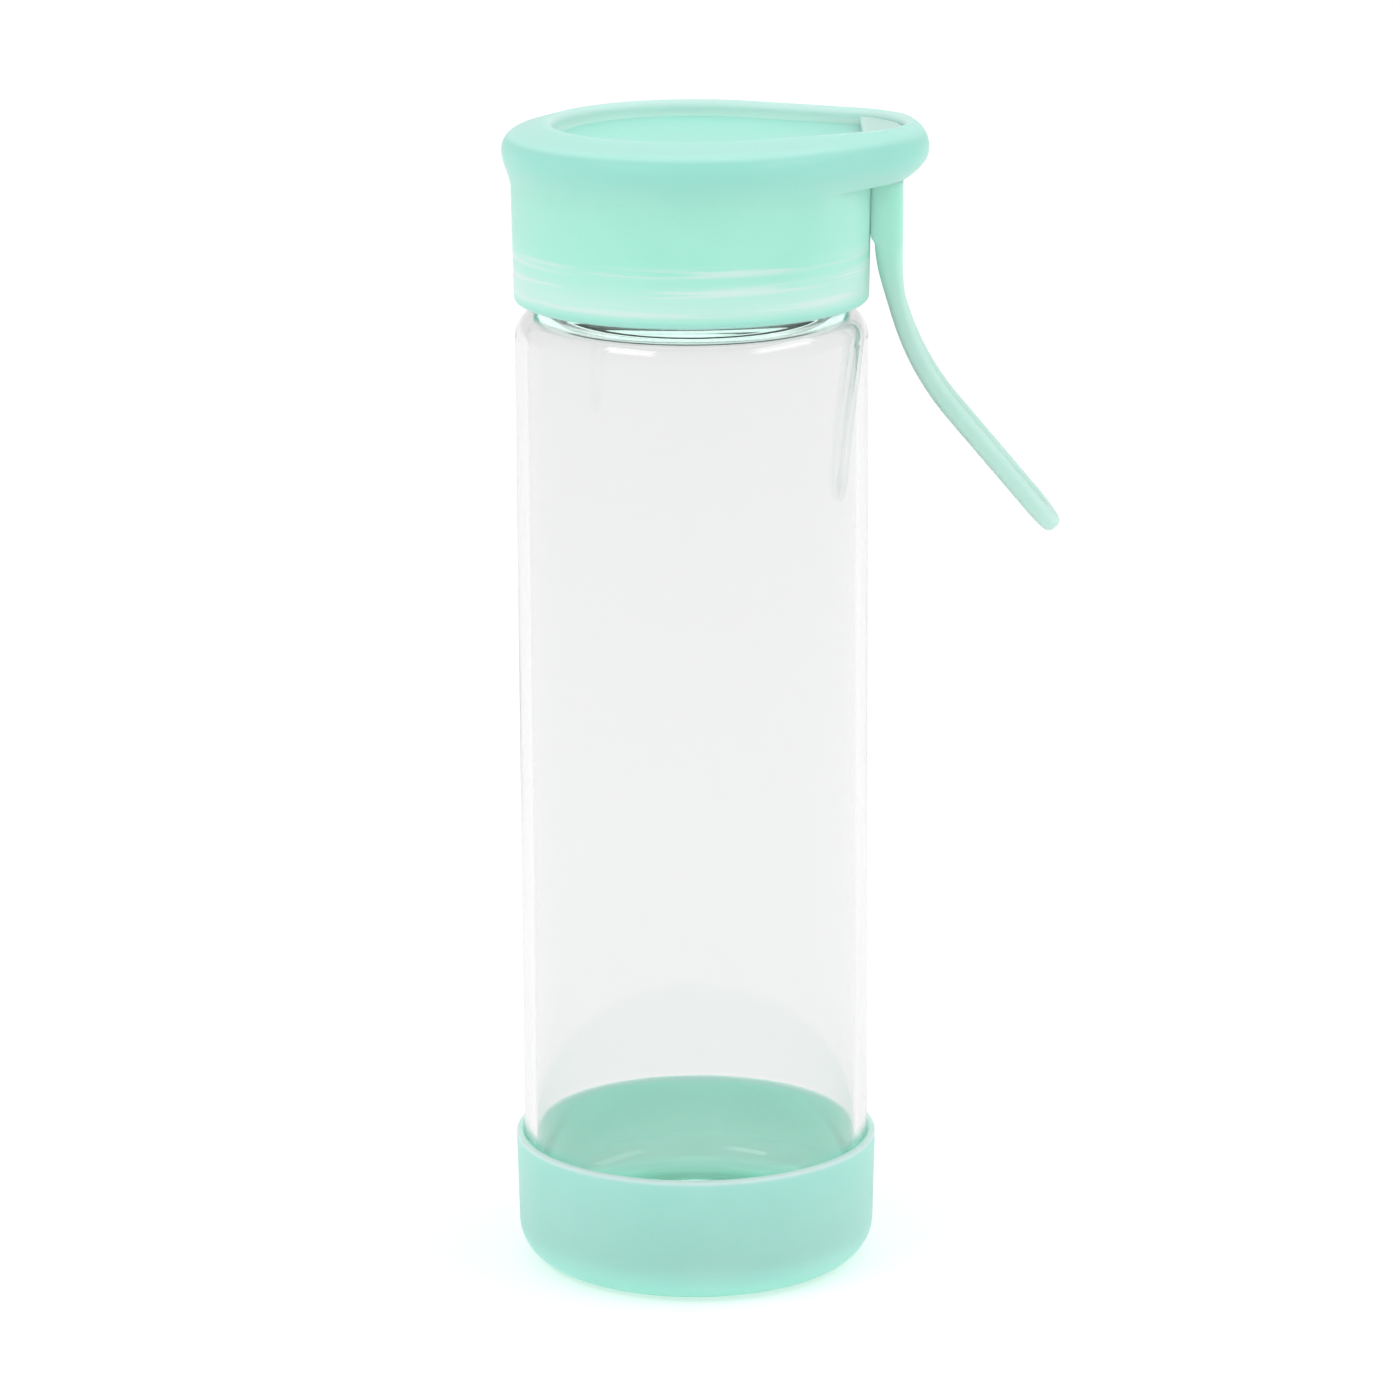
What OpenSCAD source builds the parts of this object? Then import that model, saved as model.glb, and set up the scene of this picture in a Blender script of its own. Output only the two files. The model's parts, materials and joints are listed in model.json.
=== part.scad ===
// Glass water bottle with a screw lid, a carry strap and a silicone boot.
// Millimetres. +Z is up, the origin is the centre of the boot's resting face,
// and +X points from the bottle's axis to the strap.

/* [Bottle] */
// Outside diameter of the glass body
body_d = 70; // [68:0.5:72]
// Height of the top of the glass shoulder
shoulder_top = 197; // [180:1:205]
// Radius of the rounded shoulder
shoulder_r = 6.5; // [5.5:0.1:6.8]
// Thickness of the glass wall
glass_wall = 2.5; // [2.2:0.1:2.8]
// Thickness of the glass bottom
glass_floor = 6; // [4:0.5:8]
// Outside diameter of the neck between the threads
neck_d = 55.2; // [54.6:0.1:55.4]
// Height of the neck above the shoulder
neck_h = 20.95; // [20.5:0.05:20.95]

/* [Thread] */
// Rise of the thread in one turn
pitch = 4; // [3.6:0.1:4.4]
// How far each thread ridge stands out
ridge_h = 1.3; // [1.1:0.05:1.3]
// Length of each ridge, as an angle
ridge_sweep = 450; // [360:15:450]

/* [Boot] */
// Height of the silicone boot
boot_h = 26.6; // [22:0.2:30]
// Outside diameter of the boot at its rim
boot_rim_d = 73.2; // [72.8:0.1:74]
// Outside diameter of the boot just above its rounded foot
boot_foot_d = 72.3; // [72:0.1:72.8]
// Radius of the rounded foot
boot_foot_r = 8; // [6:0.5:9]
// Thickness of the floor of the boot
boot_floor = 2.4; // [2:0.1:3]

/* [Lid] */
// Height of the lid's lower edge
lid_bottom = 198; // [197.8:0.1:198.4]
// Height of the lid from its lower edge to its crest
lid_h = 35.4; // [35.4:0.2:37]
// Outside diameter of the skirt at its lower edge
skirt_low_d = 70.2; // [70:0.1:70.6]
// Outside diameter of the skirt just under the flare
skirt_top_d = 71; // [70.8:0.1:71.2]
// Outside diameter of the rolled lip
lip_d = 74.5; // [74:0.1:75]
// Diameter of the dished top
dish_d = 54.4; // [50:0.2:55]
// Depth of the dished top below the crest
dish_depth = 3.1; // [2.6:0.1:3.3]

/* [Lug and strap] */
// Distance from the bottle's axis to the tip of the lug
lug_reach = 46.9; // [46.5:0.1:48]
// Radius of the lug's rounded end
lug_end_r = 21; // [19:0.5:23]
// Width of the strap at its root
strap_w = 9; // [7:0.5:9.4]
// Width of the strap's loop
loop_w = 15; // [12:0.5:18]
// Width of the opening in the loop
opening_w = 6.6; // [4:0.2:9]
// Thickness of the strap at its root
strap_root_t = 6; // [5.4:0.1:6]
// Thickness of the strap along its loop
strap_t = 3.6; // [3:0.1:4]
// Radius of the strap's moulded curve
strap_bend_r = 56; // [50:1:64]
// Angle that the strap turns through from vertical
strap_bend = 40; // [30:1:44]
// Length of the straight end of the strap
strap_straight = 30.5; // [20:0.5:40]

/* [Hidden] */

$fn = 128;
fit_gap = 0.05;        // flat faces of different bodies
slide_gap = 0.15;      // boot round the glass
turn_gap = 0.3;        // round faces that turn past each other
bite = 0.3;            // how deep a thread ridge is rooted in its wall

mint = [0.62, 0.89, 0.83];
boot_mint = [0.63, 0.87, 0.80];
strap_mint = [0.75, 0.89, 0.85];
clear = [0.86, 0.92, 0.93, 0.45];

// Glass
body_r = body_d / 2;
inner_r = body_r - glass_wall;
glass_z = boot_floor + fit_gap;
heel_r = 6;
inner_heel_r = 7.5;
glass_floor_z = glass_z + glass_floor;
push_up = 1.6;         // rise of the underside in its middle
push_up_r = 25;
floor_crown = 0.8;     // rise of the inner floor in its middle
neck_r = neck_d / 2;
neck_wall = 2.7;
neck_fillet = 0.9;
neck_top = shoulder_top + neck_h;
shoulder_cr = body_r - shoulder_r;
shoulder_cz = shoulder_top - shoulder_r;
mouth_fillet = 1.5;

// Thread
ridge_base = 2;
ridge_crest = 0.9;
ridge_step = 7.5;
ridge_fade = 4;        // steps over which a ridge rises from the wall
glass_ridge_start = 90;
glass_ridge_z = shoulder_top + 7;
liner_ridge_lag = 90;
liner_bore_r = neck_r + ridge_h + turn_gap;

// Lid
crest_z = lid_bottom + lid_h;
dish_z = crest_z - dish_depth;
dish_r = dish_d / 2;
top_wall = 2;
skirt_low_r = skirt_low_d / 2;
skirt_top_r = skirt_top_d / 2;
skirt_inner_r = 33;
lip_r = lip_d / 2;
lip_round = 3.95;
lip_z = crest_z - 5.4;
flare_h = 7.5;
lip_slope = 75;        // where the lip's round meets the sloping top
crest_round = 0.8;
dish_fillet = 2.2;
cavity_fillet = 3;
edge_round = 1;
cavity_z = dish_z - top_wall;

// Liner and gasket
liner_bottom = lid_bottom + 1;
liner_outer_r = 31;
liner_foot_r = skirt_inner_r - slide_gap;
liner_foot_h = 1.8;
gasket_t = 2;
liner_ceiling = neck_top + fit_gap + gasket_t;
liner_top = liner_ceiling + 2.2;
liner_ring_r = 22;
liner_ring_wall = 2;
gasket_r = liner_bore_r - turn_gap;
gasket_hole_r = 24.5;

// Lug
lug_x = lug_reach - lug_end_r;
lug_z = lid_bottom + 23.9;
lug_chamfer = 5;
lug_inset = 0.35;      // keeps the lug's back inside the lip
lug_fn = 64;
slot_t = 3;
slot_clear = 0.1;
head_clear = 0.4;
recess_end_r = 16.2;   // end of the recess in the lug, round the same centre as the lug
recess_inset = 6.2;    // keeps the recess's inner corners clear of the dish's wall

// Strap
hinge_x = 38.7;
hinge_z = lid_bottom + 18.5;
root_drop = 4.5;
root_fade = [4, 21];   // distances along the strap where the root thins
loop_fade = [6, 30];   // and where it widens into the loop
opening_start = 17;    // ends of the opening along the strap, measured from each end
opening_end = 3.6;
head_flat_x = 33.6;    // straight edge of the D-shaped head
head_h = 1.8;
head_edge = 0.5;
neck_clear = 0.15;
swing_limit = 120;
bend_steps = 20;
straight_steps = 12;

// ---- helpers ----

function arc(cx, cy, r, a0, a1, n = 12) =
    [for (i = [0:n]) let (a = a0 + (a1 - a0) * i / n) [cx + r * cos(a), cy + r * sin(a)]];

function smooth(t) = let (u = min(1, max(0, t))) u * u * (3 - 2 * u);

// A shallow crown of height h over the radius r, from its edge to the axis
function crown(r, z, h, n = 8) =
    [for (i = [0:n]) let (x = r * (1 - i / n)) [x, z + h * (1 - pow(x / r, 2))]];

// One thread ridge: side +1 stands outwards from the wall, -1 stands inwards
module thread_ridge(wall_r, side, start, z0, sweep) {
    n = round(sweep / ridge_step);
    function fade(i) = max(0.1, min(1, min(i, n - i) / ridge_fade));
    points = [for (i = [0:n])
        let (a = start + sweep * i / n, z = z0 + pitch * (sweep * i / n) / 360,
             root = wall_r - side * bite, crest = wall_r + side * ridge_h * fade(i))
        for (p = [[root, -ridge_base / 2], [crest, -ridge_crest / 2],
                  [crest, ridge_crest / 2], [root, ridge_base / 2]])
            [p[0] * cos(a), p[0] * sin(a), z + p[1]]];
    sides = [for (i = [0:n - 1], k = [0:3])
        let (a = 4 * i + k, b = 4 * i + (k + 1) % 4)
        for (f = [[a, b, b + 4], [a, b + 4, a + 4]]) side > 0 ? [f[2], f[1], f[0]] : f];
    caps = side > 0
        ? [[3, 2, 1, 0], [4 * n, 4 * n + 1, 4 * n + 2, 4 * n + 3]]
        : [[0, 1, 2, 3], [4 * n + 3, 4 * n + 2, 4 * n + 1, 4 * n]];
    polyhedron(points, concat([for (f = sides) [f[2], f[1], f[0]]],
                              [for (c = caps) [for (k = [3:-1:0]) c[k]]]));
}

// ---- glass ----

module glass_profile() {
    rim_r = neck_wall / 2;
    throat_r = neck_r - neck_wall;
    throat_z = shoulder_cz + shoulder_r - glass_wall;
    polygon(concat(
        [[0, glass_z + push_up]],
        [for (p = crown(push_up_r, glass_z, push_up)) if (p[0] > 0) p],
        arc(body_r - heel_r, glass_z + heel_r, heel_r, -90, 0),
        arc(shoulder_cr, shoulder_cz, shoulder_r, 0, 90),
        arc(neck_r + neck_fillet, shoulder_top + neck_fillet, neck_fillet, -90, -180, 6),
        arc(neck_r - rim_r, neck_top - rim_r, rim_r, 0, 180),
        arc(throat_r + mouth_fillet, throat_z + mouth_fillet, mouth_fillet, 180, 270, 6),
        arc(shoulder_cr, shoulder_cz, shoulder_r - glass_wall, 90, 0, 8),
        arc(inner_r - inner_heel_r, glass_floor_z + inner_heel_r, inner_heel_r, 0, -90),
        crown(inner_r - inner_heel_r, glass_floor_z, floor_crown)));
}

module glass_bottle() color(clear) {
    rotate_extrude() glass_profile();
    thread_ridge(neck_r, 1, glass_ridge_start, glass_ridge_z, ridge_sweep);
}

// ---- boot ----

module silicone_boot() color(boot_mint) rotate_extrude() {
    foot = boot_foot_d / 2;
    rim = boot_rim_d / 2;
    bore = body_r + slide_gap;
    corner = heel_r + slide_gap;
    outer_edge = 0.7;
    inner_edge = 0.4;
    polygon(concat(
        [[0, 0]],
        arc(foot - boot_foot_r, boot_foot_r, boot_foot_r, -90, 0),
        arc(rim - outer_edge, boot_h - outer_edge, outer_edge, 0, 90, 6),
        arc(bore + inner_edge, boot_h - inner_edge, inner_edge, 90, 180, 6),
        arc(bore - corner, boot_floor + corner, corner, 0, -90),
        [[0, boot_floor]]));
}

// ---- lid ----

module shell_profile() {
    lip_x = lip_r - lip_round;
    polygon(concat(
        arc(skirt_low_r - edge_round, lid_bottom + edge_round, edge_round, -90, 0, 6),
        [for (i = [0:10]) let (t = i / 10)
            [skirt_top_r + (lip_r - skirt_top_r) * smooth(t), lip_z - flare_h * (1 - t)]],
        arc(lip_x, lip_z, lip_round, 6, lip_slope, 10),
        arc(dish_r + crest_round, crest_z - crest_round, crest_round, lip_slope, 180, 8),
        arc(dish_r - dish_fillet, dish_z + dish_fillet, dish_fillet, 0, -90, 8),
        [[0, dish_z], [0, cavity_z]],
        arc(skirt_inner_r - cavity_fillet, cavity_z - cavity_fillet, cavity_fillet, 90, 0, 8),
        [[skirt_inner_r, lid_bottom + edge_round / 2],
         [skirt_inner_r + edge_round / 2, lid_bottom]]));
}

// Solid blank of a lip with outside radius r, chamfered below by the length c
module lip_blank(r, c, crest) rotate_extrude($fn = lug_fn) polygon([
    [0, lug_z], [r - c, lug_z], [r - 0.15 * c, lip_z - 1.7], [r, lip_z], [r - 0.4, lip_z + 1.8],
    [r - 1.4, lip_z + 3.2], [r - 3, lip_z + 4.4], [crest, crest_z - 0.25], [0, crest_z - 0.25]]);

module lug_blank() difference() {
    hull() {
        lip_blank(lip_r - lug_inset, lip_r - lug_inset - skirt_low_r, dish_r + crest_round);
        translate([lug_x, 0, 0]) lip_blank(lug_end_r, lug_chamfer, lug_end_r - 3.6);
    }
    translate([0, 0, lug_z - 1]) cylinder(r = skirt_inner_r + 1, h = cavity_z - lug_z + 1);
    translate([0, 0, cavity_z - 1]) cylinder(r = dish_r + crest_round, h = lid_h);
    translate([-lug_reach, -lug_reach, lug_z - 1]) cube([lug_reach, 2 * lug_reach, lid_h]);
}

// The recess runs on from the dish into the lug
module lug_recess() {
    a = acos((dish_r - recess_end_r) / lug_x);
    inside = dish_r - recess_inset;
    translate([0, 0, dish_z]) linear_extrude(height = lid_h) polygon(concat(
        [[0, inside], [0, -inside], dish_r * [cos(a), -sin(a)]],
        arc(lug_x, 0, recess_end_r, -a, a, 24),
        [dish_r * [cos(a), sin(a)]]));
}

// The strap's D-shaped head, drawn in by e all round
module head_shape(e, h) {
    r = recess_end_r - head_clear - e;
    a = acos((head_flat_x + e - lug_x) / r);
    linear_extrude(height = h) polygon(arc(lug_x, 0, r, -a, a, 24));
}

module lid_shell() color(mint) difference() {
    union() {
        rotate_extrude() shell_profile();
        lug_blank();
    }
    lug_recess();
    translate([hinge_x - slot_t / 2, -strap_w / 2 - slot_clear, lug_z - 1])
        cube([slot_t, strap_w + 2 * slot_clear, lid_h]);
}

module lid_liner() color(strap_mint) {
    lead = 0.7;
    rotate_extrude() polygon([
        [liner_bore_r + lead, liner_bottom], [liner_foot_r, liner_bottom],
        [liner_foot_r, liner_bottom + liner_foot_h],
        [liner_outer_r, liner_bottom + liner_foot_h],
        [liner_outer_r, liner_top - edge_round], [liner_outer_r - edge_round, liner_top],
        [liner_ring_r, liner_top], [liner_ring_r, cavity_z],
        [liner_ring_r - liner_ring_wall, cavity_z], [liner_ring_r - liner_ring_wall, liner_top],
        [0, liner_top], [0, liner_ceiling], [liner_bore_r, liner_ceiling],
        [liner_bore_r, liner_bottom + lead]]);
    thread_ridge(liner_bore_r, -1, glass_ridge_start - liner_ridge_lag,
                 glass_ridge_z - pitch / 2 - pitch * liner_ridge_lag / 360, ridge_sweep);
}

module lid_gasket() color("whitesmoke") translate([0, 0, neck_top + fit_gap]) difference() {
    cylinder(r = gasket_r, h = gasket_t);
    translate([0, 0, -1]) cylinder(r = gasket_hole_r, h = gasket_t + 2);
}

// ---- strap ----

bend_length = strap_bend_r * strap_bend * PI / 180;
strap_length = root_drop + bend_length + strap_straight;

// Point, direction and thickness of the strap's middle line at the distance s
function strap_turn(s) = min(strap_bend, max(0, (s - root_drop) / strap_bend_r * 180 / PI));
function strap_point(s) = let (a = strap_turn(s), d = max(0, s - root_drop - bend_length))
    [hinge_x + strap_bend_r * (1 - cos(a)) + d * sin(a),
     hinge_z - min(s, root_drop) - strap_bend_r * sin(a) - d * cos(a)];
function strap_thickness(s) = strap_t
    + (strap_root_t - strap_t) * (1 - smooth((s - root_fade[0]) / (root_fade[1] - root_fade[0])));
function strap_side(s, d) = let (a = strap_turn(s)) strap_point(s) + d * [cos(a), sin(a)];
stations = concat([0, root_drop],
    [for (i = [1:bend_steps]) root_drop + bend_length * i / bend_steps],
    [for (i = [1:straight_steps]) root_drop + bend_length + strap_straight * i / straight_steps]);

module strap_outline() {
    last = len(stations) - 1;
    end = strap_point(strap_length);
    polygon(concat(
        arc(hinge_x, hinge_z, strap_root_t / 2, 180, 0),
        [for (i = [1:last]) strap_side(stations[i], strap_thickness(stations[i]) / 2)],
        arc(end[0], end[1], strap_t / 2, strap_bend - 12, strap_bend - 168),
        [for (i = [last:-1:1]) strap_side(stations[i], -strap_thickness(stations[i]) / 2)]));
}

// Half width of the strap at the distance s: it widens into the loop and ends in a half circle
loop_centre = strap_length + strap_t / 2 - loop_w / 2;
function half_width(s) =
    let (t = (s - loop_fade[0]) / (loop_fade[1] - loop_fade[0]), u = max(0, s - loop_centre))
    min(strap_w / 2 + (loop_w - strap_w) / 2 * smooth(t), sqrt(max(0, pow(loop_w / 2, 2) - u * u)));

// Everything beside and below the strap's outline on the side m, seen along X
module beside_strap(m) {
    n = 48;
    far = 2 * loop_w;
    high = hinge_z + strap_root_t;
    last = strap_length + strap_t / 2;
    points = [for (i = [0:n]) let (s = loop_fade[0] + (last - loop_fade[0]) * i / n)
        [m * half_width(s), strap_point(s)[1]]];
    polygon(concat([[m * far, high], [m * strap_w / 2, high]], points,
                   [[0, points[n][1] - far], [m * far, points[n][1] - far]]));
}

module loop_opening() {
    r = opening_w / 2;
    high = strap_point(opening_start)[1];
    low = strap_point(strap_length - opening_end)[1];
    polygon(concat(arc(0, high - r, r, 0, 180), arc(0, low + r, r, 180, 360)));
}

// Runs an outline drawn in Y and Z through the strap along X
module along_x() rotate([90, 0, 90]) linear_extrude(height = 3 * lug_reach) children();

module carry_strap() color(strap_mint) difference() {
    rotate([90, 0, 0]) linear_extrude(height = loop_w, center = true) strap_outline();
    for (m = [-1, 1]) along_x() beside_strap(m);
    along_x() loop_opening();
}

module strap_head() color(strap_mint) {
    neck_t = slot_t - 2 * slot_clear;
    knuckle_r = strap_root_t / 2 + neck_clear + 0.05;
    block_x = hinge_x - strap_root_t / 2;
    translate([0, 0, dish_z]) head_shape(0, head_h - head_edge);
    translate([0, 0, dish_z + head_h - head_edge]) head_shape(head_edge, head_edge);
    translate([hinge_x - neck_t / 2, -strap_w / 2, lug_z - 0.5])
        cube([neck_t, strap_w, dish_z - lug_z + 0.6]);
    // Root block below the lug, cut clear of the strap's whole swing
    difference() {
        translate([block_x, -strap_w / 2, hinge_z]) cube([strap_root_t, strap_w, lug_z - hinge_z]);
        translate([hinge_x, strap_w, hinge_z]) rotate([90, 0, 0])
            cylinder(r = knuckle_r, h = 2 * strap_w);
        translate([hinge_x, 0, hinge_z]) rotate([0, -swing_limit, 0])
            translate([-4 * strap_w, -strap_w, -4 * strap_w])
                cube([4 * strap_w + knuckle_r, 2 * strap_w, 4 * strap_w]);
    }
}

glass_bottle();
silicone_boot();
lid_shell();
lid_liner();
lid_gasket();
strap_head();
carry_strap();
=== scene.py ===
"""Glass water bottle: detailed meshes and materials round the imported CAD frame.

Lengths are in millimetres where nothing else is said. Meshes, lights and the camera are placed in metres.
"""

import json
import math

import bmesh
import bpy
import numpy as np
from mathutils import Matrix, Vector


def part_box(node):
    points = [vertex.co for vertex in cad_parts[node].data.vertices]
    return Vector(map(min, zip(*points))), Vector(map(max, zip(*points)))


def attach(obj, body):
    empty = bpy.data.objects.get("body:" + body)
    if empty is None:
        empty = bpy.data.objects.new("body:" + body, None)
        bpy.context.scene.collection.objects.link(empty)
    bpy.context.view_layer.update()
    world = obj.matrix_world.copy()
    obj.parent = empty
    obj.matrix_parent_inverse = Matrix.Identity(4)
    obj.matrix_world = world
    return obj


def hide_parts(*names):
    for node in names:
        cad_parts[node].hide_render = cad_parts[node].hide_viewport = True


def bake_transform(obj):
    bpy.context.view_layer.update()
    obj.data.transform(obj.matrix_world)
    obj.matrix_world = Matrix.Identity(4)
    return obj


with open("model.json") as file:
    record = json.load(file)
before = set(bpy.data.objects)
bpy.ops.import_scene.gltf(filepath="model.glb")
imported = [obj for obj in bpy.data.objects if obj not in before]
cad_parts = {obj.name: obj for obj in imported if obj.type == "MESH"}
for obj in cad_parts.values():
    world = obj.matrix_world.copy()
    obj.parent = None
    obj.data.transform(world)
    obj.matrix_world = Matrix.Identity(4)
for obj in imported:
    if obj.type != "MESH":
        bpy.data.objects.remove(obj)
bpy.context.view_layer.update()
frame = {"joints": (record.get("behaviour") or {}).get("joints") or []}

MM = 0.001
TURN = 2 * math.pi


# ---------------------------------------------------------------- sizes, from the frame

def box_mm(node):
    """Lowest and highest corner of a CAD node, in millimetres."""
    low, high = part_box(node)
    return low / MM, high / MM


GLASS_LOW, GLASS_HIGH = box_mm("glass_bottle")
_, BOOT_HIGH = box_mm("silicone_boot")
SHELL_LOW, SHELL_HIGH = box_mm("lid_shell")
LINER_LOW, LINER_HIGH = box_mm("lid_liner")
GASKET_LOW, GASKET_HIGH = box_mm("lid_gasket")
HEAD_LOW, HEAD_HIGH = box_mm("strap_head")
STRAP_LOW, STRAP_HIGH = box_mm("carry_strap")
HINGE = next(j for j in frame["joints"] if j["name"] == "strap_swing")
HINGE_X, HINGE_Z = HINGE["pos_m"][0] / MM, HINGE["pos_m"][2] / MM

# Glass
BODY_R = GLASS_HIGH.y
WALL = 2.5
GLASS_Z = GLASS_LOW.z
NECK_H = 20.95
NECK_TOP = GLASS_HIGH.z
SHOULDER_TOP = NECK_TOP - NECK_H
SHOULDER_R = 6.5
NECK_R = 27.6

# Thread: a ridge on the glass and one in the inner cap, with their angles in degrees
PITCH = 4.0
RIDGE_H = 1.3
RIDGE_SWEEP = 450.0
RIDGE_START = 90.0
RIDGE_LAG = 90.0  # the ridge in the inner cap starts this much earlier
RIDGE_RUN_OUT = 28.0
RIDGE_CREST_HALF = 0.35
RIDGE_FLANK = 0.85
RIDGE_Z = SHOULDER_TOP + 7  # where the ridge on the glass starts

# Lid
LID_BOTTOM = SHELL_LOW.z
CREST_Z = SHELL_HIGH.z
LIP_R = SHELL_HIGH.y
LIP_DROP = 5.4
LIP_Z = CREST_Z - LIP_DROP
DISH_R = 27.2
DISH_DEPTH = 3.1
DISH_Z = CREST_Z - DISH_DEPTH
DISH_THICKNESS = 2.0
CAVITY_Z = DISH_Z - DISH_THICKNESS
LUG_END_R = 21.0
LUG_X = SHELL_HIGH.x - LUG_END_R
LUG_Z = LID_BOTTOM + 23.9  # height of the lug's underside
LUG_UNDER_R = LUG_END_R - 5.0
LUG_CREST_INSET = 4.2
SKIRT_R = 35.5
FLARE_H = 7.5
RECESS_END_R = 16.2
THREAD_GAP = 0.3
BORE_R = NECK_R + RIDGE_H + THREAD_GAP

# Strap: widths W and thicknesses T, and its middle line, a drop, a bend and a straight stretch
LOOP_W = STRAP_HIGH.y - STRAP_LOW.y
ROOT_W = 9.0
OPENING_W = 6.6
OPENING_START = 17.0  # from the hinge
ROOT_T = 6.0
STRAP_T = 3.6
DROP = 4.5
BEND_R = 56.0
BEND = math.radians(40)
STRAIGHT = 30.5
STRAP_END = DROP + BEND_R * BEND + STRAIGHT
SLOT_T = 3.0
SLOT_GAP = 0.1
SLOT_CORNER = 0.4
POINTED = 0.01  # half width where an outline comes to a point, so that it stays a ring


# ---------------------------------------------------------------- mesh helpers

SHARP_DEG = 38


def smooth(t):
    """Eases t from 0 to 1, and holds it there outside that range."""
    t = min(1.0, max(0.0, t))
    return t * t * (3 - 2 * t)


def fade(t, start, end):
    """0 before start and 1 after end, eased between them."""
    return smooth((t - start) / (end - start))


def arc(cx, cz, r, a0, a1, n):
    """n + 1 points of an arc from angle a0 to a1, in degrees."""
    steps = (math.radians(a0 + (a1 - a0) * i / n) for i in range(n + 1))
    return [(cx + r * math.cos(a), cz + r * math.sin(a)) for a in steps]


def line(p, q, n):
    """n - 1 points between p and q, both left out."""
    return [tuple(a + (b - a) * i / n for a, b in zip(p, q)) for i in range(1, n)]


def new_piece(name, verts_mm, faces, sharp_deg=SHARP_DEG):
    """Object from points in millimetres, smooth apart from edges sharper than sharp_deg."""
    mesh = bpy.data.meshes.new(name)
    mesh.from_pydata([Vector(v) * MM for v in verts_mm], [], faces)
    mesh.validate()
    mesh.shade_smooth()
    mesh.set_sharp_from_angle(angle=math.radians(sharp_deg))
    obj = bpy.data.objects.new(name, mesh)
    bpy.context.scene.collection.objects.link(obj)
    return obj


def lathe(name, outline, segments=256, closed=False, shape=None, sharp_deg=SHARP_DEG):
    """Turns an outline of (radius, height) points round Z. An open outline starts and ends on the axis.

    shape(angle, radius, height, index) may return another radius.
    """
    verts, rings = [], []
    for i, (r, z) in enumerate(outline):
        if r < 1e-6:
            rings.append([len(verts)] * segments)
            verts.append((0, 0, z))
            continue
        rings.append(list(range(len(verts), len(verts) + segments)))
        for k in range(segments):
            a = TURN * k / segments
            shaped_r = shape(a, r, z, i) if shape else r
            verts.append((shaped_r * math.cos(a), shaped_r * math.sin(a), z))
    pairs = list(zip(rings, rings[1:]))
    if closed:
        pairs.append((rings[-1], rings[0]))
    faces = []
    for low, high in pairs:
        for k in range(segments):
            after = (k + 1) % segments
            corners = dict.fromkeys([low[k], low[after], high[after], high[k]])
            if len(corners) > 2:
                faces.append(list(corners))
    return new_piece(name, verts, faces, sharp_deg)


def side_faces(rings, count):
    """Faces that join a number of rings with count points each."""
    faces = []
    for low in range(0, (rings - 1) * count, count):
        high = low + count
        for k in range(count):
            after = (k + 1) % count
            faces.append([low + k, low + after, high + after, high + k])
    return faces


def loft(name, rings):
    """Joins rings with equal point counts into a closed skin, with a fan over each end."""
    count = len(rings[0])
    verts = [p for ring in rings for p in ring]
    faces = side_faces(len(rings), count)
    first, last = len(verts), len(verts) + 1
    verts.append(tuple(sum(c) / count for c in zip(*rings[0])))
    verts.append(tuple(sum(c) / count for c in zip(*rings[-1])))
    top = (len(rings) - 1) * count
    for k in range(count):
        after = (k + 1) % count
        faces.append([first, after, k])
        faces.append([last, top + k, top + after])
    return new_piece(name, verts, faces)


def rounded_rectangle(half_u, half_v, corner, steps=6):
    """Points (u, v) of a rectangle with round corners."""
    u, v = half_u - corner, half_v - corner
    points = []
    for i, (corner_u, corner_v) in enumerate([(u, v), (-u, v), (-u, -v), (u, -v)]):
        points += arc(corner_u, corner_v, corner, 90 * i, 90 * i + 90, steps)
    return points


def ridge(angle, z, start_deg, start_z):
    """Height share, 0 to 1, at an angle and height, of a thread's ridge that starts at start_z."""
    best = 0.0
    for turn in range(-2, 3):
        along = math.degrees(angle) - start_deg + 360 * turn
        if -0.01 <= along <= RIDGE_SWEEP:
            off_centre = abs(z - start_z - PITCH * along / 360)
            run_out = smooth(min(along, RIDGE_SWEEP - along) / RIDGE_RUN_OUT)
            flank = smooth((off_centre - RIDGE_CREST_HALF) / RIDGE_FLANK)
            best = max(best, run_out * (1 - flank))
    return best


def combine(obj, other, operation):
    """Cuts another closed piece out of a piece, or joins it on, and removes the other."""
    modifier = obj.modifiers.new("combine", "BOOLEAN")
    modifier.operation = operation
    modifier.solver = "MANIFOLD"
    modifier.object = other
    depsgraph = bpy.context.evaluated_depsgraph_get()
    mesh = bpy.data.meshes.new_from_object(obj.evaluated_get(depsgraph))
    obj.modifiers.clear()
    obj.data = mesh
    bpy.data.objects.remove(other)


def weld(obj, distance=0.004):
    """Merges points closer than this distance and turns every face outwards."""
    b = bmesh.new()
    b.from_mesh(obj.data)
    bmesh.ops.remove_doubles(b, verts=b.verts, dist=distance * MM)
    bmesh.ops.recalc_face_normals(b, faces=b.faces)
    b.to_mesh(obj.data)
    b.free()


def place(obj, body, material, slot, *nodes):
    """Gives a piece its material and body, if one is named, and hides the CAD nodes it stands for. The
    slot is not used.
    """
    obj.data.materials.clear()
    obj.data.materials.append(material)
    if body:
        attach(obj, body)
    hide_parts(*nodes)
    return obj


# ---------------------------------------------------------------- materials

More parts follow.
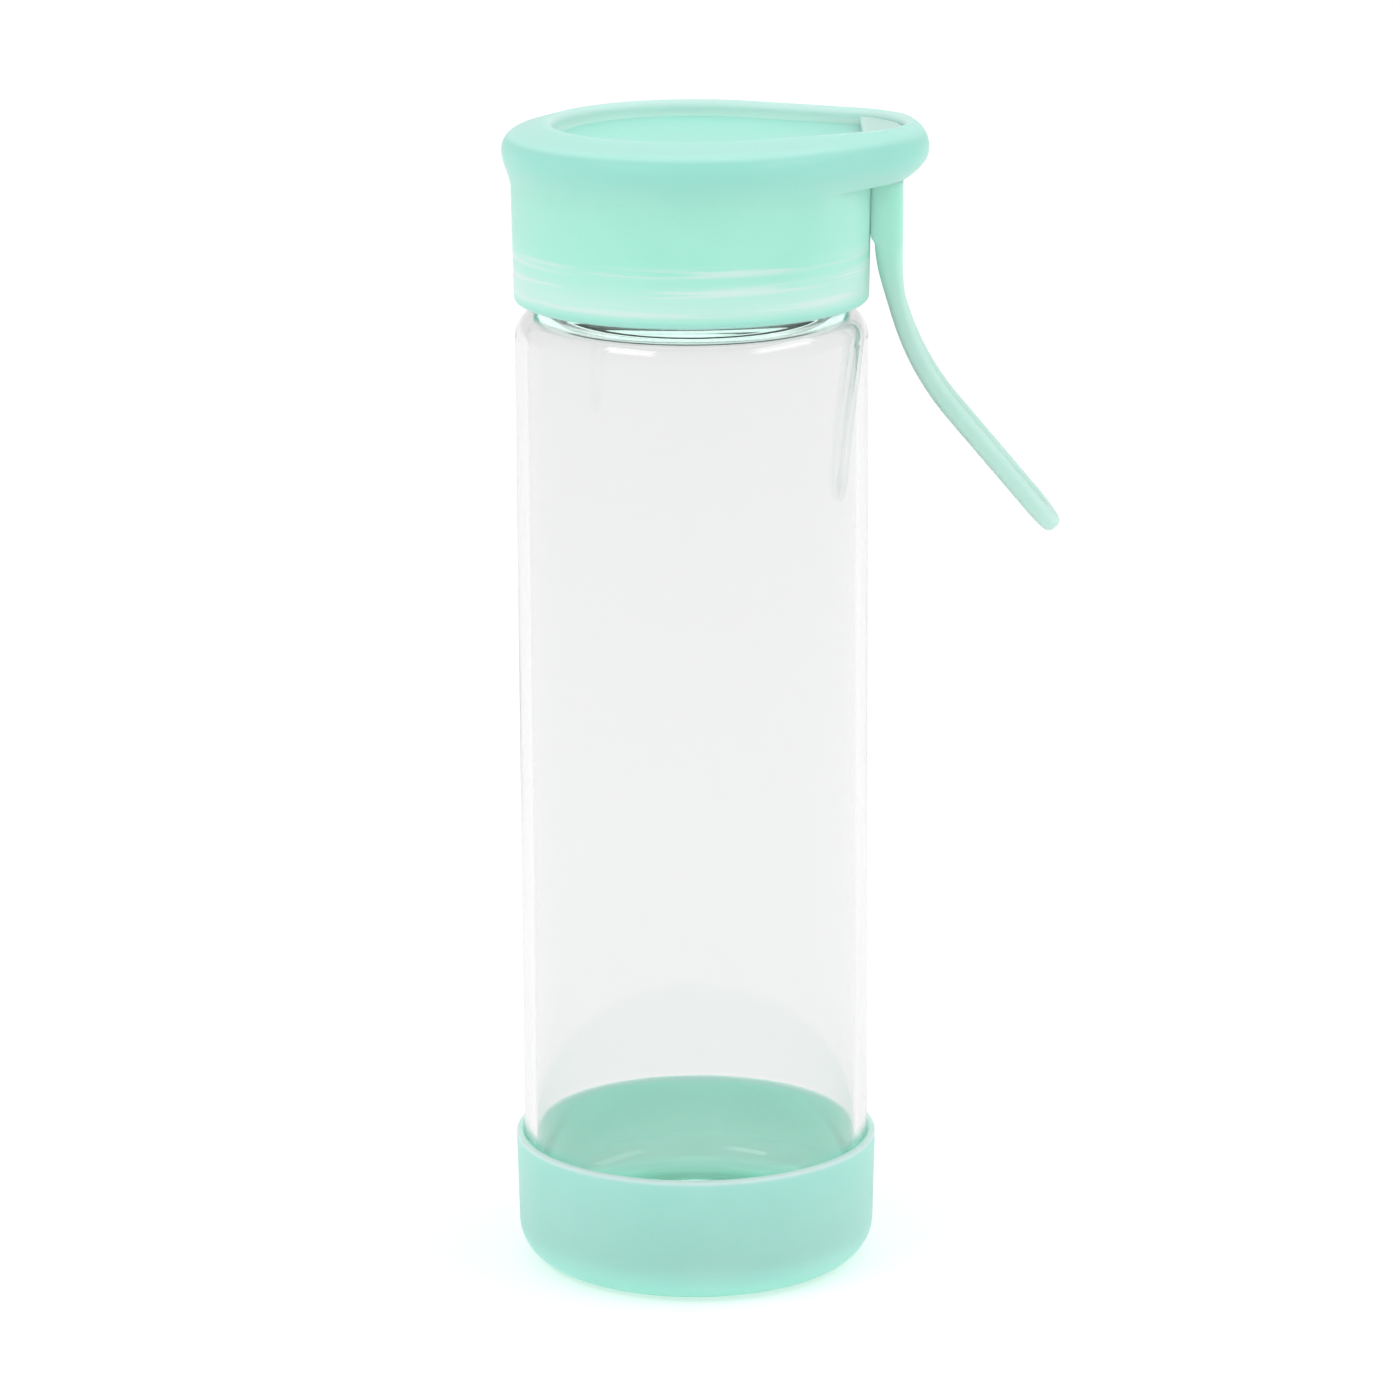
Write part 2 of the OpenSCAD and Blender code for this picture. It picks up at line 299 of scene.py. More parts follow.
class Surface:
    """A material's node tree with its Principled shader, and short ways to add nodes to it."""

    def __init__(self, name):
        self.material = bpy.data.materials.new(name)
        self.material.use_nodes = True
        self.nodes, self.links = self.material.node_tree.nodes, self.material.node_tree.links
        self.shader = self.nodes["Principled BSDF"]
        self.coordinates = self.nodes.new("ShaderNodeTexCoord")

    def set(self, **values):
        """Sets the shader's own sockets, whose names have _ for a space here."""
        for name, value in values.items():
            self.shader.inputs[name.replace("_", " ")].default_value = value

    def link(self, source, name):
        """Feeds the shader's socket of this name."""
        self.links.new(source, self.shader.inputs[name])

    def math(self, operation, *values):
        """A Math node's result, from sockets or numbers."""
        node = self.nodes.new("ShaderNodeMath")
        node.operation = operation
        for socket, value in zip(node.inputs, values):
            if isinstance(value, (int, float)):
                socket.default_value = value
            else:
                self.links.new(value, socket)
        return node.outputs["Value"]

    def fade(self, value, start, end):
        """0 before start and 1 after end, eased between them."""
        node = self.nodes.new("ShaderNodeMapRange")
        node.interpolation_type = "SMOOTHSTEP"
        node.inputs["From Min"].default_value = start
        node.inputs["From Max"].default_value = end
        self.links.new(value, node.inputs["Value"])
        return node.outputs["Result"]

    def fade_out(self, value, start, end):
        """1 before start and 0 after end, eased between them."""
        return self.math("SUBTRACT", 1.0, self.fade(value, start, end))

    def noise(self, cell_mm):
        """Noise in object space with cells of this size, or of three sizes along X, Y and Z."""
        sizes = cell_mm if isinstance(cell_mm, tuple) else (cell_mm,) * 3
        mapping = self.nodes.new("ShaderNodeMapping")
        mapping.inputs["Scale"].default_value = [1 / (size * MM) for size in sizes]
        texture = self.nodes.new("ShaderNodeTexNoise")
        texture.inputs["Scale"].default_value = 1.0
        texture.inputs["Detail"].default_value = 2.0
        self.links.new(self.coordinates.outputs["Object"], mapping.inputs["Vector"])
        self.links.new(mapping.outputs["Vector"], texture.inputs["Vector"])
        return texture.outputs["Fac"]

    def places(self):
        """X, Y, Z and distance from the bottle's axis of a point in object space, in millimetres."""
        split = self.nodes.new("ShaderNodeSeparateXYZ")
        self.links.new(self.coordinates.outputs["Object"], split.inputs["Vector"])
        x, y, z = (self.math("DIVIDE", split.outputs[axis], MM) for axis in "XYZ")
        squares = self.math("ADD", self.math("MULTIPLY", x, x), self.math("MULTIPLY", y, y))
        return x, y, z, self.math("SQRT", squares)

    def upward(self):
        """How far a face looks up: 1 up, 0 sideways and -1 down."""
        split = self.nodes.new("ShaderNodeSeparateXYZ")
        self.links.new(self.coordinates.outputs["Normal"], split.inputs["Vector"])
        return split.outputs["Z"]

    def inward(self, radius):
        """How far a face looks towards the bottle's axis: 1 inwards, 0 up or down and -1 outwards."""
        flat = self.nodes.new("ShaderNodeVectorMath")
        flat.operation = "MULTIPLY"
        flat.inputs[1].default_value = (1, 1, 0)
        self.links.new(self.coordinates.outputs["Object"], flat.inputs[0])
        dot = self.nodes.new("ShaderNodeVectorMath")
        dot.operation = "DOT_PRODUCT"
        self.links.new(flat.outputs["Vector"], dot.inputs[0])
        self.links.new(self.coordinates.outputs["Normal"], dot.inputs[1])
        return self.math("DIVIDE", self.math("MULTIPLY", dot.outputs["Value"], -1 / MM), radius)

    def mix(self, factor, first, second):
        """Colour from first at factor 0 to second at factor 1."""
        node = self.nodes.new("ShaderNodeMix")
        node.data_type = "RGBA"
        self.links.new(factor, node.inputs["Factor"])
        for name, value in (("A", first), ("B", second)):
            socket = next(i for i in node.inputs if i.name == name and i.type == "RGBA")
            if isinstance(value, tuple):
                socket.default_value = (*value, 1)
            else:
                self.links.new(value, socket)
        return next(o for o in node.outputs if o.type == "RGBA")

    def grain(self, *layers):
        """Bump from noise layers, each a (cell_mm, depth_mm) pair."""
        normal = None
        for cell_mm, depth_mm in layers:
            node = self.nodes.new("ShaderNodeBump")
            node.inputs["Distance"].default_value = depth_mm * MM
            self.links.new(self.noise(cell_mm), node.inputs["Height"])
            if normal:
                self.links.new(normal, node.inputs["Normal"])
            normal = node.outputs["Normal"]
        self.link(normal, "Normal")


def soft_surface(name, low, high, roughness, weight, depth_mm):
    """Translucent plastic or silicone in two close tones, with its light spread over depth_mm."""
    surface = Surface(name)
    colour = surface.mix(surface.fade(surface.noise(22), 0.35, 0.65), low, high)
    surface.link(colour, "Base Color")
    surface.set(Roughness=roughness, Subsurface_Weight=weight, Subsurface_Scale=depth_mm * MM)
    surface.set(Subsurface_Radius=(1.0, 1.0, 1.0), Specular_IOR_Level=0.3)
    return surface, colour


def glass_surface():
    """Glass with a faint grey tint down to the boot, partly painted shade, left clear in the boot so that
    more light reaches the boot's inside, and very slightly wavy round its drawn wall.
    """
    clear, grey_shade_tint = (0.985, 0.985, 0.985), (0.885, 0.887, 0.887)
    surface = Surface("clear_glass")
    _, _, z, _ = surface.places()
    # The grey above the boot is partly painted shade; the clear glass in the boot lets more light onto the
    # boot's inside.
    above_boot = surface.fade(z, BOOT_HIGH.z - 1, BOOT_HIGH.z + 2)
    surface.link(surface.mix(above_boot, clear, grey_shade_tint), "Base Color")
    surface.set(Roughness=0.0, IOR=1.5, Transmission_Weight=1.0)
    surface.grain(((9, 9, 60), 0.02))
    return surface.material


def frosted_surface():
    """Frosted lid: a deeper tone on the lip band, partly its thickness and partly painted shade; painted
    shade at the bottom edge; the thread as pale broken streaks and the low skirt paler, both painted
    light; painted light on faces that look up; a painted highlight on the dish's wall.
    """
    lip_shade_tone, edge_shade_tone, streak_light_tone = (0.33, 0.69, 0.6), (0.33, 0.65, 0.56), (0.6, 0.71, 0.68)
    crest_light_tone, dish_wall_highlight_tone = (0.44, 0.77, 0.69), (0.55, 0.77, 0.71)
    surface, colour = soft_surface("frosted_lid", (0.37, 0.69, 0.6), (0.395, 0.705, 0.615), 0.36, 1.0, 4)
    x, y, z, radius = surface.places()

    # Deeper tone on the lip band: partly the lip's thickness, partly painted shade.
    lip = surface.fade(z, LIP_Z - 7, LIP_Z)
    lip = surface.math("SUBTRACT", lip, surface.fade(z, LIP_Z + 2, CREST_Z))
    colour = surface.mix(lip, colour, lip_shade_tone)
    # Painted shade: darker towards the bottom edge.
    colour = surface.mix(surface.fade_out(z, LID_BOTTOM + 0.6, LID_BOTTOM + 1.8), colour, edge_shade_tone)

    # Painted light: the thread behind the skirt shows as pale broken streaks, and the skirt is paler low
    # down.
    # The thread climbs one pitch a turn, so a streak lies where pitches less turns is a whole number
    turns = surface.math("DIVIDE", surface.math("ARCTAN2", y, x), TURN)
    pitches = surface.math("DIVIDE", surface.math("SUBTRACT", z, RIDGE_Z - PITCH / 2), PITCH)
    phase = surface.math("PINGPONG", surface.math("SUBTRACT", pitches, turns), 0.5)
    streaks = surface.math("MULTIPLY", surface.fade_out(phase, 0.05, 0.45),
                           surface.fade_out(z, RIDGE_Z + PITCH, RIDGE_Z + PITCH * 2))
    broken = surface.fade(surface.noise((34, 34, 1.0)), 0.38, 0.56)
    streaks = surface.math("MULTIPLY", streaks, broken)
    low_light_zone = surface.math("MULTIPLY", surface.fade_out(z, RIDGE_Z - 3, RIDGE_Z + 6), 0.6)
    pale = surface.math("MAXIMUM", streaks, low_light_zone)
    pale = surface.math("MULTIPLY", pale, surface.fade(z, LID_BOTTOM + 1, LID_BOTTOM + 3))
    colour = surface.mix(pale, colour, streak_light_tone)

    # Painted light: faces that look up, from the dish floor to the crest, are paler.
    top = surface.fade(surface.upward(), 0.25, 0.8)
    crest = surface.math("MULTIPLY", top, surface.fade(z, DISH_Z, DISH_Z + 1))
    colour = surface.mix(crest, colour, crest_light_tone)
    # Painted highlight on the dish's inner wall.
    facing_in = surface.fade(surface.inward(radius), 0.1, 0.6)
    dish_wall_highlight = surface.math("MULTIPLY", facing_in, surface.fade(z, DISH_Z - 0.5, DISH_Z))
    surface.link(surface.mix(dish_wall_highlight, colour, dish_wall_highlight_tone), "Base Color")
    surface.grain((0.35, 0.012), (6, 0.04))
    return surface.material


def strap_surface():
    """Strap: greener at its root under the lug, partly the deeper colour of its thick silicone and partly
    painted shade, paler along the loop.
    """
    root_shade_tone = (0.46, 0.83, 0.7)
    surface, colour = soft_surface("strap_silicone", (0.48, 0.72, 0.64), (0.51, 0.74, 0.665), 0.5, 0.8, 3)
    # Painted shade: the root under the lug is greener, with the deeper colour of its thick silicone.
    root = surface.nodes.new("ShaderNodeAttribute")
    root.attribute_name = "root_shade_share"
    surface.link(surface.mix(root.outputs["Fac"], colour, root_shade_tone), "Base Color")
    surface.grain((0.4, 0.02), (5, 0.05))
    return surface.material


def boot_surface():
    """Boot: paler inside as painted light, where its glow stands in for the light that comes through its
    thin wall, and a painted highlight along the rim's top.
    """
    inside_light_tone, rim_highlight_tone = (0.42, 0.92, 0.73), (0.55, 0.9, 0.82)
    no_glow, glow = (0, 0, 0), (0.2, 0.85, 0.53)
    surface, colour = soft_surface("boot_silicone", (0.35, 0.81, 0.65), (0.37, 0.83, 0.67), 0.45, 1.0, 6)
    _, _, z, radius = surface.places()
    # Painted light: faces that don't look outwards are paler, and glow.
    inside = surface.fade(surface.inward(radius), -0.4, 0.1)
    colour = surface.mix(inside, colour, inside_light_tone)
    # Painted highlight along the top of the rim.
    rim = surface.fade(z, BOOT_HIGH.z - 1.2, BOOT_HIGH.z - 0.3)
    surface.link(surface.mix(rim, colour, rim_highlight_tone), "Base Color")
    surface.link(surface.mix(inside, no_glow, glow), "Emission Color")
    surface.set(Emission_Strength=0.25)
    surface.grain((0.4, 0.02), (7, 0.06))
    return surface.material


def inner_surface(name, low, high, roughness, weight, depth_mm):
    """Piece inside the lid, whose glow stands in for the light that comes through the frosted shell."""
    surface, colour = soft_surface(name, low, high, roughness, weight, depth_mm)
    surface.link(colour, "Emission Color")
    surface.set(Emission_Strength=0.8)
    surface.grain((0.4, 0.02), (7, 0.06))
    return surface.material


GLASS = glass_surface()
BOOT = boot_surface()
FROSTED = frosted_surface()
LINER = inner_surface("liner_plastic", (0.72, 0.87, 0.82), (0.76, 0.89, 0.85), 0.4, 1.0, 8)
SEAL = inner_surface("seal_silicone", (0.8, 0.84, 0.83), (0.86, 0.88, 0.87), 0.5, 0.6, 3)
STRAP = strap_surface()


# ---------------------------------------------------------------- glass

def glass_bottle():
    """Blown glass, turned from its pushed-up bottom up the outside, over the rim and down the inside."""
    heel, dome_r, push_up = 6.0, 25.0, 1.6
    inner_r, inner_heel, floor, crown = BODY_R - WALL, 7.5, GLASS_Z + 6.0, 0.8
    shoulder_x, shoulder_z = BODY_R - SHOULDER_R, SHOULDER_TOP - SHOULDER_R
    fillet, rim_r, throat_r, mouth = 0.9, 1.35, NECK_R - 2.7, 1.5
    shares = [i / 10 for i in range(11)]

    outline = [(dome_r * share, GLASS_Z + push_up * (1 - share ** 2)) for share in shares]
    outline += arc(BODY_R - heel, GLASS_Z + heel, heel, -90, 0, 16)
    outline += line((BODY_R, GLASS_Z + heel), (BODY_R, shoulder_z), 24)
    outline += arc(shoulder_x, shoulder_z, SHOULDER_R, 0, 90, 20)
    outline += arc(NECK_R + fillet, SHOULDER_TOP + fillet, fillet, -90, -180, 8)
    first = len(outline)
    outline += line(outline[-1], (NECK_R, NECK_TOP - rim_r), 90)
    last = len(outline)
    outline += arc(NECK_R - rim_r, NECK_TOP - rim_r, rim_r, 0, 180, 16)
    outline += arc(throat_r + mouth, SHOULDER_TOP - WALL + mouth, mouth, 180, 270, 8)
    outline += arc(shoulder_x, shoulder_z, SHOULDER_R - WALL, 90, 0, 14)
    outline += line((inner_r, shoulder_z), (inner_r, floor + inner_heel), 24)
    outline += arc(inner_r - inner_heel, floor + inner_heel, inner_heel, 0, -90, 18)
    flat_r = inner_r - inner_heel
    outline += [(flat_r * share, floor + crown * (1 - share ** 2)) for share in shares[-2::-1]]

    def thread(angle, r, z, i):
        if not first <= i < last:
            return r
        return r + RIDGE_H * ridge(angle, z, RIDGE_START, RIDGE_Z)

    return lathe("bottle_glass", outline, 256, shape=thread, sharp_deg=60)


# ---------------------------------------------------------------- boot

def silicone_boot():
    """Cup that follows the glass's heel, turned from its foot up the outside and down the inside."""
    foot, rim, height, foot_round = 36.15, BOOT_HIGH.y, BOOT_HIGH.z, 8.0
    bore, corner, floor = BODY_R + 0.15, 6.15, 2.4
    outer_edge, inner_edge = 0.7, 0.4
    outline = [(0, 0)] + line((0, 0), (foot - foot_round, 0), 6)
    outline += arc(foot - foot_round, foot_round, foot_round, -90, 0, 20)
    outline += line((foot, foot_round), (rim, height - outer_edge), 12)
    outline += arc(rim - outer_edge, height - outer_edge, outer_edge, 0, 90, 8)
    outline += arc(bore + inner_edge, height - inner_edge, inner_edge, 90, 180, 6)
    outline += line((bore, height - inner_edge), (bore, floor + corner), 8)
    outline += arc(bore - corner, floor + corner, corner, 0, -90, 14)
    outline += line((bore - corner, floor), (0, floor), 6) + [(0, floor)]
    return lathe("boot_body", outline, 256)


# ---------------------------------------------------------------- lid

def outline_radius(angle, r, end_r):
    """Radius, at an angle, of the outline round a circle r on the axis and a circle end_r at the lug."""
    a = abs((angle + math.pi) % TURN - math.pi)
    beta = math.acos(max(-1, min(1, (r - end_r) / LUG_X)))
    if a >= beta:
        return r
    touch = math.atan2(end_r * math.sin(beta), LUG_X + end_r * math.cos(beta))
    if a >= touch:
        return r / math.cos(beta - a)
    return LUG_X * math.cos(a) + math.sqrt(end_r ** 2 - (LUG_X * math.sin(a)) ** 2)


# The shell is turned from rows of radius, height, radius of the outline's end round the lug, and share.
# An end radius of 0 makes a plain circle. A share under 1 gives the full outline shrunk by that much.

def plain_rows(outline):
    """Rows of plain circles."""
    return [(r, z, 0, 1) for r, z in outline]


def flare_radius(z):
    """Outer radius of the skirt where it flares out into the lip."""
    return SKIRT_R + (LIP_R - SKIRT_R) * smooth((z - LIP_Z + FLARE_H) / FLARE_H)


def lug_end(z):
    """Radius of the lug's end, which rounds out to the lip's height and in again to the crest."""
    if z < LIP_Z:
        share = (z - LUG_Z) / (LIP_Z - LUG_Z)
        return LUG_UNDER_R + (LUG_END_R - LUG_UNDER_R) * math.sin(share * math.pi / 2) ** 0.85
    share = min(1.0, (z - LIP_Z) / (CREST_Z - LIP_Z))
    return LUG_END_R - LUG_CREST_INSET * (1 - math.sqrt(1 - share ** 2))


def recess_end(r):
    """Radius of the recess's end, as far out from the dish's edge as r is."""
    return RECESS_END_R + r - DISH_R


def inside_rows():
    """From the middle of the ceiling out, and down the skirt's inside to the bottom edge."""
    skirt_in, fillet, chamfer = 33.0, 3.0, 0.5
    ceiling_r = skirt_in - fillet
    outline = [(0, CAVITY_Z)]
    outline += [(r, CAVITY_Z) for r in np.linspace(0, ceiling_r, 10)[1:-1]]
    outline += arc(ceiling_r, CAVITY_Z - fillet, fillet, 90, 0, 10)
    outline += [(skirt_in, z) for z in np.linspace(CAVITY_Z - fillet, LID_BOTTOM + chamfer, 12)[1:]]
    outline += [(skirt_in + chamfer, LID_BOTTOM)]
    return plain_rows(outline)


def skirt_rows():
    """From the bottom edge up the skirt's outside to the lug's underside."""
    bottom_r, edge = 35.1, 1.0
    outline = arc(bottom_r - edge, LID_BOTTOM + edge, edge, -90, 0, 8)
    outline += line((bottom_r, LID_BOTTOM + edge), (SKIRT_R, LIP_Z - FLARE_H), 16)
    outline += [(flare_radius(z), z) for z in np.linspace(LIP_Z - FLARE_H, LUG_Z, 5)]
    return plain_rows(outline)


def lip_rows():
    """From the lug's underside, whose edge is slightly rounded, over the lip to the crest's inner side."""
    lip_round, crest_round, under_r = 3.95, 1.4, flare_radius(LUG_Z)
    rows = [(under_r, LUG_Z, LUG_UNDER_R - 0.6), (under_r, LUG_Z + 0.12, LUG_UNDER_R - 0.1)]
    rows += [(flare_radius(z), z, lug_end(z)) for z in np.linspace(LUG_Z + 0.45, LIP_Z, 18)]
    rows += [(r, z, lug_end(z)) for r, z in arc(LIP_R - lip_round, LIP_Z, lip_round, 4, 75, 18)]
    crest = arc(DISH_R + crest_round, CREST_Z - crest_round, crest_round, 75, 180, 10)
    rows += [(r, z, lug_end(z)) for r, z in line(rows[-1][:2], crest[0], 10)]
    rows += [(r, z, recess_end(r)) for r, z in crest]
    return [(*row, 1) for row in rows]


def dish_rows():
    """From the dish's wall to its middle, where the outline shrinks to a point."""
    fillet, steps = 1.7, 12
    wall = arc(DISH_R - fillet, DISH_Z + fillet, fillet, 0, -90, 12)
    rows = [(r, z, recess_end(r), 1) for r, z in wall]
    floor_r, _, floor_end_r, _ = rows[-1]
    for share in [1 - i / steps for i in range(1, steps)]:
        rows.append((floor_r * share, DISH_Z, floor_end_r, share))
    return rows + [(0, DISH_Z, 0, 1)]


def lid_shell():
    """Frosted shell: a skirt, a lip that runs out round the lug, and a dish that runs out into it."""
    rows = inside_rows() + skirt_rows() + lip_rows() + dish_rows()

    def lug(angle, r, z, i):
        _, _, end_r, share = rows[i]
        return share * outline_radius(angle, r / share, end_r) if end_r else r

    shell = lathe("lid_frosted_shell", [row[:2] for row in rows], 384, shape=lug)
    weld(shell)
    combine(shell, strap_slot(), "DIFFERENCE")
    shell.data.set_sharp_from_angle(angle=math.radians(SHARP_DEG))
    return shell


def strap_slot():
    """Cutter for the slot in the lug, which the strap's neck goes through."""
    outline = rounded_rectangle(SLOT_T / 2, ROOT_W / 2 + SLOT_GAP, SLOT_CORNER)
    levels = (LUG_Z - 2, DISH_Z + 1)
    return loft("slot", [[(HINGE_X + u, v, z) for u, v in outline] for z in levels])


def lid_liner():
    """Threaded inner cap, with a foot ring in the skirt and a ring that reaches up to the ceiling."""
    outer, edge, lead = 31.0, 1.0, 0.7
    foot, foot_h, foot_edge = LINER_HIGH.y, 1.8, 0.3
    bottom, ceiling, top = LINER_LOW.z, NECK_TOP + 2.05, NECK_TOP + 4.25
    foot_top = bottom + foot_h
    ring_out, ring_in, ring_top = 22.0, 20.0, CAVITY_Z - 0.02
    thread_z = RIDGE_Z - PITCH / 2 - PITCH * RIDGE_LAG / 360

    outline = [(0, ceiling), (ring_out, ceiling), (BORE_R, ceiling)]
    first = len(outline)
    outline += line((BORE_R, ceiling), (BORE_R, bottom + lead), 80)
    last = len(outline)
    outline += [(BORE_R, bottom + lead), (BORE_R + lead, bottom)]
    outline += [(foot - foot_edge, bottom), (foot, bottom + foot_edge)]
    outline += [(foot, foot_top - foot_edge), (foot - foot_edge, foot_top), (outer, foot_top)]
    outline += line((outer, foot_top), (outer, top - edge), 10)
    outline += arc(outer - edge, top - edge, edge, 0, 90, 6)
    outline += [(ring_out, top), (ring_out, ring_top), (ring_in, ring_top), (ring_in, top), (0, top)]

    def thread(angle, r, z, i):
        if not first <= i < last:
            return r
        return r - RIDGE_H * ridge(angle, z, RIDGE_START - RIDGE_LAG, thread_z)

    return lathe("lid_inner_cap", outline, 256, shape=thread)


def lid_gasket():
    """Flat sealing ring with rounded edges."""
    inner, outer, edge = 24.5, GASKET_HIGH.y, 0.4
    low, high = GASKET_LOW.z + edge, GASKET_HIGH.z - edge
    outline = arc(outer - edge, low, edge, -90, 0, 5)
    outline += arc(outer - edge, high, edge, 0, 90, 5)
    outline += arc(inner + edge, high, edge, 90, 180, 5)
    outline += arc(inner + edge, low, edge, 180, 270, 5)
    return lathe("seal_ring", outline, 192, closed=True)


# ---------------------------------------------------------------- strap

def strap_middle(s):
    """Point and slope of the strap's middle line at the distance s from the hinge."""
    a = min(BEND, max(0.0, (s - DROP) / BEND_R))
    d = max(0.0, s - DROP - BEND_R * BEND)
    x = HINGE_X + BEND_R * (1 - math.cos(a)) + d * math.sin(a)
    z = HINGE_Z - min(s, DROP) - BEND_R * math.sin(a) - d * math.cos(a)
    return x, z, a


def strap_point(s, v, depth):
    """Place on the strap: s along it, v across it and depth through it, -1 at the skirt and 1 outside."""
    x, z, a = strap_middle(s)
    contact, relief = 0.25, 0.3
    half = (STRAP_T + (ROOT_T - STRAP_T) * (1 - fade(s, 4, 21))) / 2
    hollow = 0
    if depth < 0:
        # The root lies on the skirt and follows its round, and just below there it is a little thinner
        half += contact * (1 - fade(s, 5.2, 6.4))
        half -= relief * fade(s, 5.8, 7.2) * (1 - fade(s, 7.4, 12.4))
        hollow = v * v / (2 * SKIRT_R) * (1 - fade(s, 5.8, 7.2))
    return x + depth * half * math.cos(a) + depth * hollow, v, z + depth * half * math.sin(a)


def edge_levels(rounding, steps=6):
    """Depths from one face to the other, each with how far the edge there lies inside the outline."""
    half = STRAP_T / 2
    near = []
    for k in range(steps + 1):
        a = math.radians(90 * k / steps)
        near.append((-(half - rounding + rounding * math.cos(a)) / half, rounding * (1 - math.sin(a))))
    return near + [(0.0, 0.0)] + [(-depth, inset) for depth, inset in near[::-1]]


def plate(name, outline, levels):
    """Solid bent along the strap, with the outline(inset) of (s, half width) pairs at each level."""
    rings = []
    for depth, inset in levels:
        pairs = outline(inset)
        sides = pairs + [(s, -half_width) for s, half_width in pairs[::-1]]
        rings.append([strap_point(s, v, depth) for s, v in sides])
    count = len(rings[0])
    faces = side_faces(len(rings), count)
    top = (len(rings) - 1) * count
    for k in range(count // 2 - 1):
        strip = [k, k + 1, count - 2 - k, count - 1 - k]
        faces.append(strip[::-1])
        faces.append([top + i for i in strip])
    obj = new_piece(name, [p for ring in rings for p in ring], faces)
    weld(obj)
    return obj


def strap_outline(inset):
    """The strap from the lug's underside: a root that widens into a loop with a round end."""
    radius, tip_gap, root_rounding, steps = LOOP_W / 2, 0.35, 0.2, 24
    centre = STRAP_END + STRAP_T / 2 - tip_gap - radius
    start = HINGE_Z - LUG_Z
    pairs = [(start, ROOT_W / 2 - inset * root_rounding)]
    for s in np.linspace(start + 0.6, centre, 90):
        half = ROOT_W / 2 + (LOOP_W - ROOT_W) / 2 * fade(s, 6, 30)
        rounding = root_rounding + (1 - root_rounding) * fade(s, 6, 12)
        pairs.append((s, half - inset * rounding))
    for k in range(1, steps + 1):
        a = math.radians(90 * k / steps)
        half = max(POINTED, (radius - inset) * math.cos(a))
        pairs.append((centre + (radius - inset) * math.sin(a), half))
    return pairs


def opening_outline(inset):
    """The loop's opening, which grows towards both faces to round its edges."""
    radius, steps = OPENING_W / 2, 14
    first, last = OPENING_START + radius, STRAP_END - STRAP_T - radius
    r = radius + inset
    angles = [math.radians(90 * k / steps) for k in range(steps + 1)]
    pairs = [(first - r * math.cos(a), max(POINTED, r * math.sin(a))) for a in angles]
    pairs += [(s, r) for s in np.linspace(first, last, 40)[1:-1]]
    return pairs + [(last + r * math.sin(a), max(POINTED, r * math.cos(a))) for a in angles]


def strap_head():
    """The D-shaped head that lies in the lug's recess."""
    flat_x, top, edge, foot_edge, gap = HEAD_LOW.x, HEAD_HIGH.z, 0.7, 0.3, 0.4

    def ring(inset, z):
        r = RECESS_END_R - gap - inset
        half_arc = math.acos((flat_x + inset - LUG_X) / r)
        angles = np.linspace(-half_arc, half_arc, 49)
        points = [(LUG_X + r * math.cos(t), r * math.sin(t)) for t in angles]
        far = points[-1][1]
        points += [(flat_x + inset, v) for v in np.linspace(far, -far, 17)[1:-1]]
        return [(x, y, z) for x, y in points]

    rings = [ring(foot_edge, DISH_Z), ring(0, DISH_Z + foot_edge)]
    rings += [ring(edge - r, z) for r, z in arc(0, top - edge, edge, 0, 80, 8)]
    return loft("head", rings)


def strap_neck():
    """The flat neck that joins the head to the root through the slot."""
    outline = rounded_rectangle(SLOT_T / 2 - SLOT_GAP, ROOT_W / 2, SLOT_CORNER)
    levels = (LUG_Z - 0.5, DISH_Z + 0.5)
    return loft("neck", [[(HINGE_X + u, v, z) for u, v in outline] for z in levels])


def mark_root_shade(strap):
    """Stores how much each point belongs to the root, which takes the painted shade: 1 from the hinge to
    the lug, 0 on loop and head.
    """
    root_shade_share = strap.data.attributes.new("root_shade_share", "FLOAT", "POINT")
    for vertex, share in zip(strap.data.vertices, root_shade_share.data):
        z = vertex.co.z / MM
        share.value = fade(z, HINGE_Z - 24, HINGE_Z - 2) * (1 - fade(z, LUG_Z, LUG_Z + 4))


def carry_strap():
    """One moulding: a head and neck in the lug, and a loop that hangs in its moulded curve."""
    rounding = 1.3
    levels = edge_levels(rounding)
    strap = plate("strap_loop", strap_outline, levels)
    beyond, cut_inset = 1.4, rounding + 0.5
    cut_levels = [(-beyond, cut_inset)] + levels + [(beyond, cut_inset)]
    combine(strap, plate("opening", opening_outline, cut_levels), "DIFFERENCE")
    combine(strap, strap_neck(), "UNION")
    combine(strap, strap_head(), "UNION")
    strap.data.set_sharp_from_angle(angle=math.radians(50))
    mark_root_shade(strap)
    return strap


# ---------------------------------------------------------------- assembly

place(glass_bottle(), "bottle", GLASS, "clear_glass", "glass_bottle")
place(silicone_boot(), "boot", BOOT, "boot_silicone", "silicone_boot")
place(lid_shell(), "lid", FROSTED, "frosted_lid", "lid_shell")
place(lid_liner(), "lid", LINER, "liner_plastic", "lid_liner")
place(lid_gasket(), "seal", SEAL, "seal_silicone", "lid_gasket")
strap = place(carry_strap(), None, STRAP, "strap_silicone", "strap_head", "carry_strap")
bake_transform(strap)


# ---------------------------------------------------------------- studio

